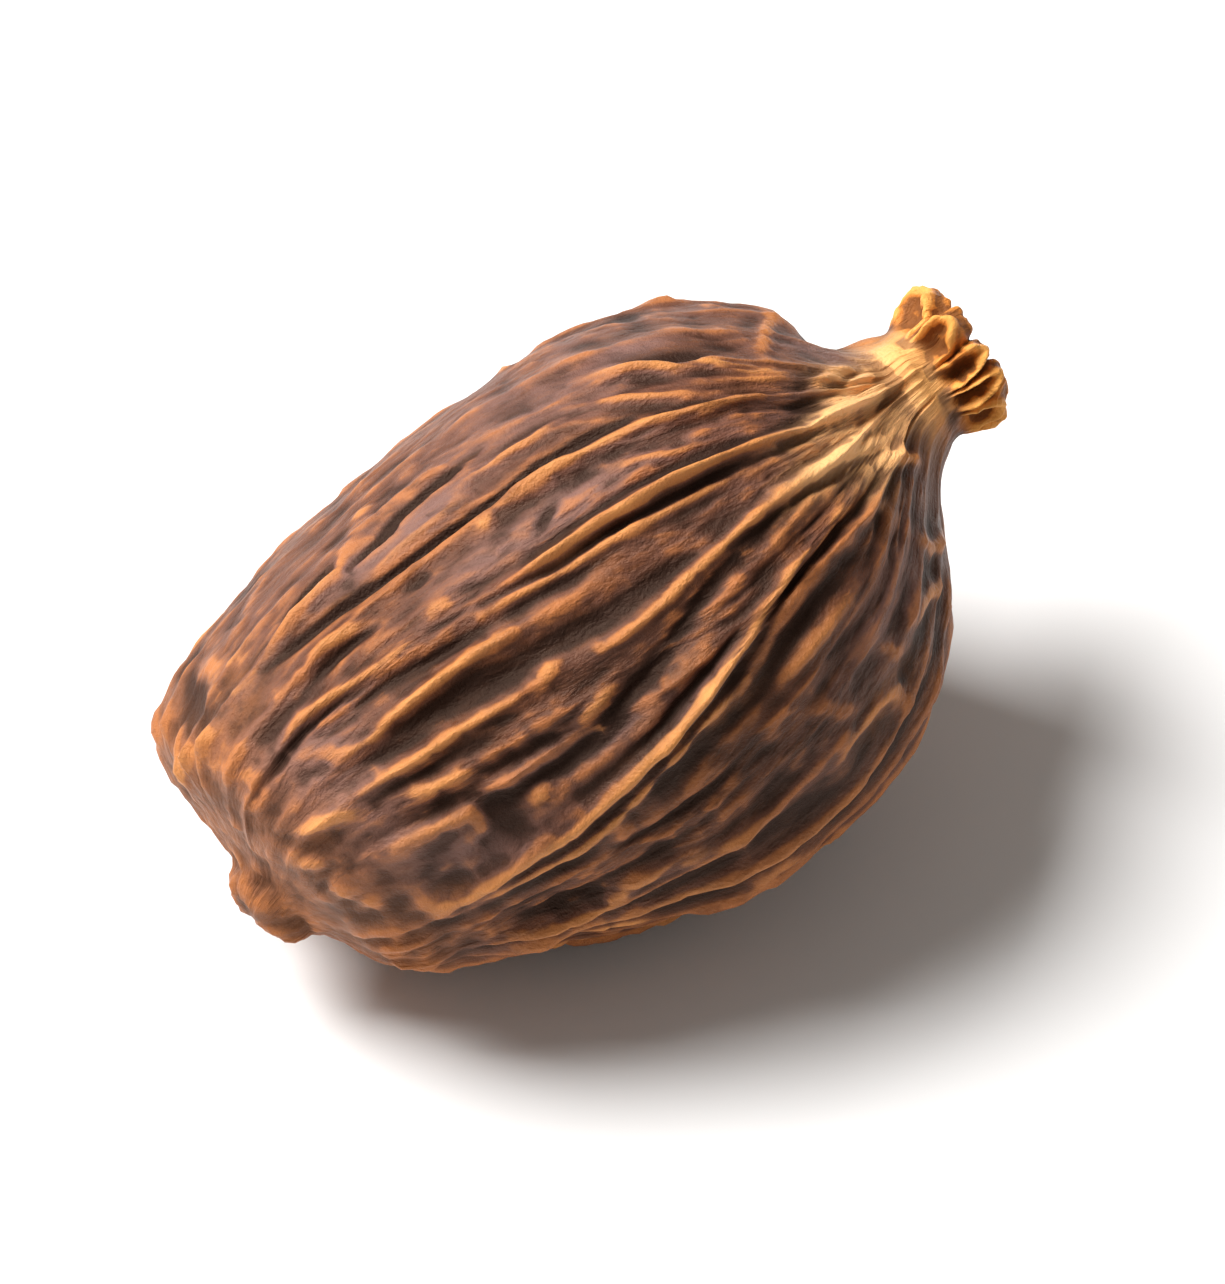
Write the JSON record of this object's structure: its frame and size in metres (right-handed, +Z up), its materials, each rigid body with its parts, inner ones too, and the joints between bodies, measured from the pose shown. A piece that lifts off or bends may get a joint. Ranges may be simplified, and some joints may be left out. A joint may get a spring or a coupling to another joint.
{
  "type": "calabash nutmeg pod",
  "caption": "Dried ribbed spice pod lying on its side, with a bulging belly, a narrow neck and an open knobbed crown.",
  "frame": {"origin": "on the resting surface, under the middle of the pod's bounding box", "axes": "+X towards the crown along the pod's length, +Z up from the surface it rests on, -Y towards the viewer"},
  "size_m": [0.0416, 0.0264, 0.0262],
  "materials": {
    "dried_husk": "dry, fibrous brown husk with paler worn ribs and a yellowish crown"
  },
  "bodies": {
    "root": {"nutmeg_pod": "dried_husk"}
  },
  "joints": []
}
